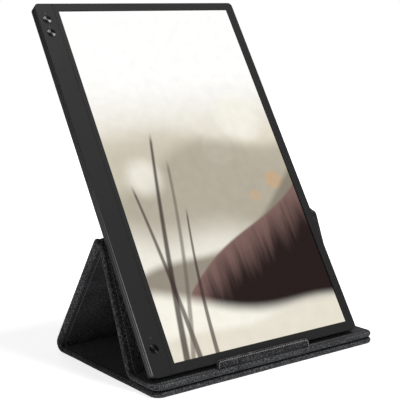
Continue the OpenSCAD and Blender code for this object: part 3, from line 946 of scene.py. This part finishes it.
def picture_material(colours):
    """The lit picture: rows of soft hills in warm haze under a bright sky,
    pale discs of light out of focus, and a few reeds. A hill is what lies
    below a line and a wave over U, a disc is a circle round a point, and a
    reed is a parabola over V. It glows as a display does, behind a matt
    glass, inside a thin black border."""
    material, t, shader, place = principled(
        "Display", Roughness=0.3, Specular_IOR_Level=0.12,
        Base_Color=(0.006, 0.006, 0.006), Emission_Strength=1.0)
    split = t.add("ShaderNodeSeparateXYZ", Vector=place["UV"])
    u, v = split["X"], split["Y"]
    haze, far, near, sand = (np.array(c) for c in (
        colours.haze, colours.far_hill, colours.near_hill, colours.sand))
    colour = t.mix(t.ramp(v, 0.80, 0.52), colours.sky, haze * 0.93)

    def hill(level, slope, wave, turn, soft, tone, amount):
        """Mixes in a hill under its ridge, and gives the depth under it."""
        nonlocal colour
        under = (u * slope + level
                 + t.math("SINE", u * turn + level * 9) * wave - v)
        colour = t.mix(t.ramp(under, 0.0, soft) * amount, colour, tone)
        return under

    def disc(x, y, radius, soft, tone, amount):
        """Mixes in a round patch of light. V is 1.78 times as long as U."""
        nonlocal colour
        across, up = u - x, (v - y) * 1.78
        away = t.math("SQRT", across * across + up * up)
        colour = t.mix(t.ramp(away, radius, radius - soft) * amount,
                       colour, tone)

    def reed(root, lean, curl, top, width, soft, tone, amount):
        """Mixes in a reed that thins from the lower edge up to its top."""
        nonlocal colour
        off = abs(u - (v * lean + root + v * v * curl))
        mask = t.ramp(off - (top - v) * (width / top), soft, 0.0)
        colour = t.mix(mask * t.ramp(v, top, top - 0.04) * amount, colour,
                       tone)

    ember = haze * (0.8, 0.55, 0.35)
    hill(0.66, -0.10, 0.035, 5.2, 0.10, haze * 0.70, 0.75)
    disc(0.80, 0.63, 0.17, 0.10, sand, 0.75)
    disc(0.62, 0.55, 0.10, 0.03, sand, 0.35)
    hill(0.52, 0.10, 0.040, 6.4, 0.06, haze * 0.42 + far * 0.3, 0.8)
    disc(0.17, 0.49, 0.13, 0.09, sand, 0.7)
    hill(0.44, -0.16, 0.030, 7.0, 0.14, sand, 0.85)
    disc(0.88, 0.44, 0.055, 0.012, ember, 0.6)
    disc(0.74, 0.40, 0.035, 0.010, ember, 0.45)
    hill(0.20, 0.26, 0.050, 5.0, 0.03, far * 0.8, 0.9)
    under = hill(0.03, 0.45, 0.050, 4.4, 0.010,
                 near * 9 + (0.05, 0.035, 0.03), 1.0)
    # The nearest hill is dark but for its ridge, along uneven folds.
    folds = t.noise(place["UV"], (16, 3, 1), 3.0, 0.6)
    lower = t.ramp(under + (folds - 0.5) * 0.16, -0.01, 0.13)
    colour = t.mix(lower * t.ramp(under, 0.0, 0.02), colour, near)
    hill(0.19, -0.10, 0.020, 6.0, 0.045, sand, 1.0)
    hill(0.07, 0.03, 0.010, 9.0, 0.03, haze * 0.9, 0.6)
    reed(0.08, 0.26, 0.10, 0.62, 0.010, 0.012, near * 2, 0.85)
    reed(0.15, -0.05, -0.16, 0.48, 0.008, 0.010, near * 3, 0.8)
    reed(0.11, 0.55, -0.30, 0.54, 0.006, 0.012, far * 0.5, 0.7)
    reed(0.24, 0.10, 0.35, 0.40, 0.007, 0.008, near * 3, 0.8)
    grain = t.noise(place["UV"], (18, 32, 2), 4.0)
    side = t.math("MINIMUM", u, 1.0 - u)
    end = t.math("MINIMUM", v, 1.0 - v)
    lit = t.ramp(side, 0.0149, 0.0153) * t.ramp(end, 0.0086, 0.0088)
    shader.feed(Emission_Color=t.vector(
        "SCALE", colour, Scale=(0.92 + grain * 0.16) * lit)[0])
    return material


# Operators ---------------------------------------------------------------

class MONITOR_OT_cover(bpy.types.Operator):
    """Builds the fabric cover in three stretches, with their stitches"""

    bl_idname = "monitor.cover"
    bl_label = "Cover"

    def execute(self, context):
        scene = context.scene
        strip = CoverStrip(scene.cover_sizes)
        colours = scene.fabric_colours
        cloth = fabric_material("Cover fabric", colours, pitch=1.2 * MM,
                                flecks=0.6, sewn=True)
        thread = moulded_material("Cover thread", colours.thread, 0.85,
                                  grain=4000.0, uneven=0.4)
        for row in cover_stretches(strip):
            piece = cover_piece(row["name"], strip, *row["span"])
            give(piece, cloth)
            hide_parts(*row["nodes"])
            stitches = cover_stitches(row["name"] + "_stitches", strip,
                                      *row["span"], scene.stitch_sizes)
            give(stitches, thread)
            for obj in (piece, stitches):
                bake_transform(obj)
        return {"FINISHED"}


def cover_stretches(strip):
    """The three stretches of the strip. Each runs from the middle of one
    panel to the middle of the next, or to the strip's end, and its row lists
    the bodies beside it and where the fold's outer arc starts and ends."""
    rear, support = (sum(strip.part(i)) / 2 for i in (2, 4))
    rows = [
        ("base_fabric", (0.0, rear), 1, BACK_FOLD, FOLD_OUTER,
         ("base_panel", "rear_panel"),
         ("base_cover", "base_lining", "back_crease")),
        ("top_fold_fabric", (rear, support), 3, APEX_FOLD, FOLD_OUTER,
         ("rear_panel", "support_panel"),
         ("rear_cover", "rear_lining", "apex_crease")),
        ("ledge_fabric", (support, strip.length), 5, LEDGE_FOLD, -FOLD_OUTER,
         ("support_panel", "ledge_panel"),
         ("support_cover", "support_lining", "bend_crease", "ledge_cover",
          "ledge_lining")),
    ]
    made = []
    for name, span, run, place, out, bodies, nodes in rows:
        start, end = ((0.0, *(place + out * outward(strip.knots[i][2])))
                      for i in (run - 1, run + 1))
        made.append({"name": name, "span": span, "bodies": bodies,
                     "nodes": nodes, "start": start, "end": end})
    return made


class MONITOR_OT_lip(bpy.types.Operator):
    """Builds the stitched lip that stops the monitor's lower edge"""

    bl_idname = "monitor.lip"
    bl_label = "Lip"

    def execute(self, context):
        scene = context.scene
        colours = scene.fabric_colours
        low, high = (np.array(c, float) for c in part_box("lip_cover"))
        lip = lip_mesh("lip_fabric", low, high)
        give(lip, fabric_material("Lip fabric", colours, pitch=1.1 * MM,
                                  flecks=0.7))
        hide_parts("lip_cover")
        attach(lip, "lip")
        seam = lip_stitches("lip_stitches", low, high, scene.stitch_sizes)
        give(seam, moulded_material("Lip thread", colours.lip_thread, 0.8,
                                    grain=4000.0, uneven=0.5))
        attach(seam, "lip")
        return {"FINISHED"}


# Tighter than the photo's, so that the lip's board stays inside its cloth.
LIP_CORNER = 3.9 * MM


def lip_outline(low, high, inset, count):
    """Points round the lip's front as (x, z): up the left end, along the
    top with round corners and down the right end, moved in by inset."""
    r = LIP_CORNER - inset
    x0, x1 = low[0] + inset, high[0] - inset
    z0, z1 = low[2], high[2] - inset
    left = quarter_arc(r, 8) + [x0, z1 - r]
    right = (left * [-1, 1] + [x0 + x1, 0])[::-1]
    return even_points(np.concatenate([[[x0, z0]], left, right, [[x1, z0]]]),
                       count)


def lip_mesh(name, low, high):
    """The lip as nested outlines: from the middle of the back out to its
    rim, round the rim on a half circle, and in to the middle of the front.
    An outline is the lip's own scaled about the middle of its foot, so that
    its ends and its top move in by the same length."""
    sides, foot, rim, inner = 160, 70, 11, [0.0, 0.4, 0.75]
    outer = lip_outline(low, high, 0.0, sides)
    foot = np.linspace(outer[-1], outer[0], foot)[1:-1]
    loop = np.concatenate([outer, foot])
    half = (high - low) / 2
    middle = np.array([low[0] + half[0], low[2]])
    size = np.array([half[0], 2 * half[2]])
    turn = np.pad(np.linspace(-math.pi / 2, math.pi / 2, rim), len(inner),
                  "edge")[:, None]
    share = np.concatenate([inner, np.ones(rim), inner[::-1]])[:, None]
    pull = 0.7 * half[1] * (1 - np.cos(turn))
    scale = (size - pull) / size * share
    x, z = np.moveaxis(middle + (loop - middle) * scale[:, None], -1, 0)
    points = stacked(x, low[1] + half[1] * (1 - np.sin(turn)), z)
    points = points.reshape(-1, 3)
    quads = ends_closed(ring_faces(len(share), len(loop)), len(loop))
    return make_mesh(name, points, quads[:, ::-1], points[:, [0, 2]])


def lip_stitches(name, low, high, sizes):
    """Stitches along the lip's ends and top, at even steps."""
    line = lip_outline(low, high, sizes.lip_inset, 600)
    at = np.arange(sizes.lip_pitch / 2, length_along(line)[-1],
                   sizes.lip_pitch)
    place = points_along(line, at)
    way = points_along(line, at + 0.1 * MM) - place
    front = low[1] + 0.4 * sizes.lip_thread
    centres = stacked(place[:, 0], front, place[:, 1])
    ways = stacked(way[:, 0], 0.0, way[:, 1])
    ups = np.broadcast_to([0.0, -1.0, 0.0], centres.shape)
    return stitch_mesh(name, centres, ways, ups, sizes.lip_length,
                       sizes.lip_thread)


class MONITOR_OT_display(bpy.types.Operator):
    """Builds the glass of the display with its picture"""

    bl_idname = "monitor.display"
    bl_label = "Display"

    def execute(self, context):
        low, high = screen_box("lcd_cell")
        glass = plate_mesh("display_glass", low[0], high[0], low[2], high[2],
                           low[1], high[1], bevel=0.3 * MM)
        give(glass, picture_material(context.scene.picture_colours))
        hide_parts("lcd_cell")
        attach(glass, "monitor")
        return {"FINISHED"}


# Each button's node and its body, and how far its flange stands out.
BUTTONS = {"menu_button_upper": "upper_menu_key",
           "menu_button_lower": "lower_menu_key",
           "power_button": "power_key"}
FLANGE = 0.9 * MM


class MONITOR_OT_buttons(bpy.types.Operator):
    """Turns the three dished buttons and prints the marks above two"""

    bl_idname = "monitor.buttons"
    bl_label = "Buttons"

    def execute(self, context):
        colours = context.scene.case_colours
        spun = spun_material(colours.button)
        ink = moulded_material("Printed marks", colours.mark, 0.6)
        face = screen_box("front_bezel")[0][1]
        for node, body in BUTTONS.items():
            low, high = screen_box(node)
            x, _, z = (low + high) / 2
            button = lathe_mesh(node + "_cap", button_profile(low, high),
                                (x, z))
            give(button, spun)
            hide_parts(node)
            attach(button, body)
            if node == "power_button":
                continue
            wide, tall, z = 0.35 * MM, 1.1 * MM, high[2] + 1.5 * MM
            mark = plate_mesh(node + "_mark", x - wide, x + wide, z - tall,
                              z + tall, face - 0.02 * MM, face + 0.05 * MM,
                              bevel=0.01 * MM)
            give(mark, ink)
            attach(mark, "monitor")
        return {"FINISHED"}


def button_profile(low, high):
    """(radius, depth) of a button: a shallow dish whose depth falls with the
    square of the radius, a rim rounded by a quarter circle, the wall and
    the flange behind the bezel."""
    flange, back = (high[0] - low[0]) / 2, high[1]
    rim, turn, step = flange - FLANGE, 0.25 * MM, back - 0.5 * MM
    dish, land, deep = np.linspace(0, 1, 14), 0.55 * MM, 0.1 * MM
    front = stacked(dish * (rim - land), low[1] + deep * (1 - dish ** 2))
    edge = quarter_arc(turn, 6)[:, ::-1] + [rim - turn, low[1]]
    return np.concatenate([front, edge, [[rim, step], [flange, step],
                                         [flange, back], [0, back]]])


def spun_material(colour):
    """Spun metal finish: fine grooves run round the axis, along U, and
    stretch each glint across them."""
    material, t, shader, place = principled(
        "Spun button", Metallic=1.0, Anisotropic=0.92,
        Anisotropic_Rotation=0.25)
    v = t.add("ShaderNodeSeparateXYZ", Vector=place["UV"])["Y"]
    grooves = 21000.0  # radians per metre
    light = 0.85 + t.math("SINE", v * grooves) * 0.12
    way = t.add("ShaderNodeTangent", {"direction_type": "UV_MAP",
                                      "uv_map": "UVMap"})
    shader.feed(Base_Color=t.vector("SCALE", colour, Scale=light)[0],
                Roughness=0.22 + t.noise(place["Object"], 900.0) * 0.1,
                Tangent=way["Tangent"])
    return material


# Material slots that are metal.
METALS = ("tray_metal", "screw_steel", "switch_body", "insert_brass",
          "mirror_film")


class MONITOR_OT_case(bpy.types.Operator):
    """Gives the moulded and metal CAD parts their finishes"""

    bl_idname = "monitor.case"
    bl_label = "Case"

    def execute(self, context):
        colours, record = context.scene.case_colours, frame["record"]
        slots = {row["node"]: row["material_slot"]
                 for row in record["subparts"]}
        finishes = {
            # The bezel's pale band is a painted highlight on its front chamfer, and the housing's is one on the
            # parting line behind it.
            "bezel_plastic": moulded_material(
                "Bezel plastic", colours.bezel, 0.58, grain=2200.0,
                uneven=0.16, edge=(colours.edge, 0.02 * MM, 0.40 * MM),
                Specular_IOR_Level=0.25),
            "housing_plastic": moulded_material(
                "Housing plastic", colours.housing, 0.55, grain=1800.0,
                uneven=0.16, edge=(colours.edge, 2.95 * MM, 3.3 * MM),
                Specular_IOR_Level=0.25),
            "clear_plastic": moulded_material(
                "Light pipe", (0.075, 0.075, 0.075), 0.4, grain=900.0,
                uneven=0.1),
        }
        for row in record["materials"]:
            slot, metal = row["slot"], row["slot"] in METALS
            if slot not in finishes:
                finishes[slot] = moulded_material(
                    slot.replace("_", " ").capitalize(),
                    row["base_color"][:3], 0.35 if metal else 0.6,
                    grain=1500.0, uneven=0.2, Metallic=float(metal))
        for name, node in frame["nodes"].items():
            give(node, finishes[slots[name]])
        return {"FINISHED"}


# Each lamp's place, the point that it is turned to, and its side.
LAMPS = {"key": ((0.83, -1.0, 3.73), (0, 0, 0.1), 0.9),
         "fill": ((-0.62, -0.48, 0.13), (-0.1, 0, 0.08), 0.22),
         "back": ((0.5, 2.0, 1.0), (0, 0, 0.1), 0.8)}


class MONITOR_OT_stage(bpy.types.Operator):
    """Sets the floor, the lamps, the world and the camera"""

    bl_idname = "monitor.stage"
    bl_label = "Stage"

    def execute(self, context):
        sizes = context.scene.stage_sizes
        side, points = sizes.floor_side, sizes.floor_cells + 1
        line = np.linspace(-side / 2, side / 2, points)
        floor = make_mesh("floor", stacked(line, line[:, None], 0.0)
                          .reshape(-1, 3), grid_faces(points, points))
        give(floor, floor_material())
        for key, row in LAMPS.items():
            place_lamp(key.capitalize() + " lamp", *row, getattr(sizes, key))
        light_world()
        place_camera(sizes)
        context.scene.view_settings.view_transform = "Standard"
        return {"FINISHED"}


def floor_material():
    """A plain pale floor. Camera, gloss and glass rays see it glow, more so
    away from the object, so that it is white apart from the object's
    shadow."""
    material, t, shader, place = principled("Floor", Roughness=0.9,
                                            Emission_Color=(1, 1, 1))
    pale = t.mix(t.noise(place["Object"], 3.0), (0.90, 0.90, 0.90),
                 (0.93, 0.93, 0.93))
    away = t.vector("LENGTH", place["Object"])["Value"]
    shader.feed(Base_Color=pale, Emission_Strength=t.seen(
        "Is Glossy Ray", "Is Transmission Ray")
        * (0.8 + t.ramp(away, 0.2, 0.8) * 0.2))
    return material


def light_world():
    """An even grey light, white where the camera or glass sees it."""
    world = bpy.data.worlds.new("Studio")
    bpy.context.scene.world = world
    world.use_nodes = True
    t = Tree(world.node_tree)
    Node(t, world.node_tree.nodes["Background"], Color=(1, 1, 1),
         Strength=0.08 + t.seen("Is Transmission Ray") * 0.92)


def place_axes(name, data, right, back, place):
    """A new object at a place, with its own X to the right and Z back."""
    made = bpy.data.objects.new(name, data)
    bpy.context.scene.collection.objects.link(made)
    axes = np.eye(4)
    axes[:3] = np.stack([right, np.cross(back, right), back, place], 1)
    made.matrix_world = Matrix(axes.tolist())
    return made


def place_lamp(name, place, target, size, power):
    """A square lamp at a place, turned to a target."""
    data = bpy.data.lights.new(name, "AREA")
    data.size, data.energy = size, power
    back = np.subtract(place, target)
    back /= np.linalg.norm(back)
    right = np.cross([0, 0, 1.0], back)
    lamp = place_axes(name, data, right / np.linalg.norm(right), back, place)
    lamp.visible_camera = False


def place_camera(sizes):
    """The camera looks along its azimuth and elevation, rolled about that
    line."""
    a, e, r = sizes.azimuth, sizes.elevation, sizes.roll
    ahead = np.array([math.sin(a) * math.cos(e), math.cos(a) * math.cos(e),
                      -math.sin(e)])
    level = np.array([math.cos(a), -math.sin(a), 0.0])
    right = level * math.cos(r) + np.cross(ahead, level) * math.sin(r)
    data = bpy.data.cameras.new("Camera")
    data.lens, data.sensor_width, data.clip_start = sizes.lens, 36.0, 0.01
    bpy.context.scene.camera = place_axes("Camera", data, right, -ahead,
                                          sizes.place)


class MONITOR_PT_parts(bpy.types.Panel):
    """Lists the pieces and their sizes in the sidebar"""

    bl_label = "Monitor"
    bl_space_type = "VIEW_3D"
    bl_region_type = "UI"
    bl_category = "Monitor"

    def draw(self, context):
        layout = self.layout
        for operator in OPERATORS:
            layout.operator(operator.bl_idname)
        for name in GROUPS:
            box = layout.box()
            group = getattr(context.scene, name)
            for key in type(group).__annotations__:
                box.prop(group, key)


OPERATORS = (MONITOR_OT_case, MONITOR_OT_display, MONITOR_OT_buttons,
             MONITOR_OT_cover, MONITOR_OT_lip, MONITOR_OT_stage)
GROUPS = {"cover_sizes": CoverSizes, "stitch_sizes": StitchSizes,
          "fabric_colours": FabricColours, "case_colours": CaseColours,
          "picture_colours": PictureColours, "stage_sizes": StageSizes}


def register():
    for name, group in GROUPS.items():
        bpy.utils.register_class(group)
        setattr(bpy.types.Scene, name, PointerProperty(type=group))
    for made in (*OPERATORS, MONITOR_PT_parts):
        bpy.utils.register_class(made)


def unregister():
    for made in (MONITOR_PT_parts, *reversed(OPERATORS)):
        bpy.utils.unregister_class(made)
    for name, group in GROUPS.items():
        delattr(bpy.types.Scene, name)
        bpy.utils.unregister_class(group)


def main():
    """Builds everything."""
    register()
    bpy.ops.monitor.case()
    bpy.ops.monitor.display()
    bpy.ops.monitor.buttons()
    bpy.ops.monitor.cover()
    bpy.ops.monitor.lip()
    bpy.ops.monitor.stage()


if __name__ == "__main__":
    main()
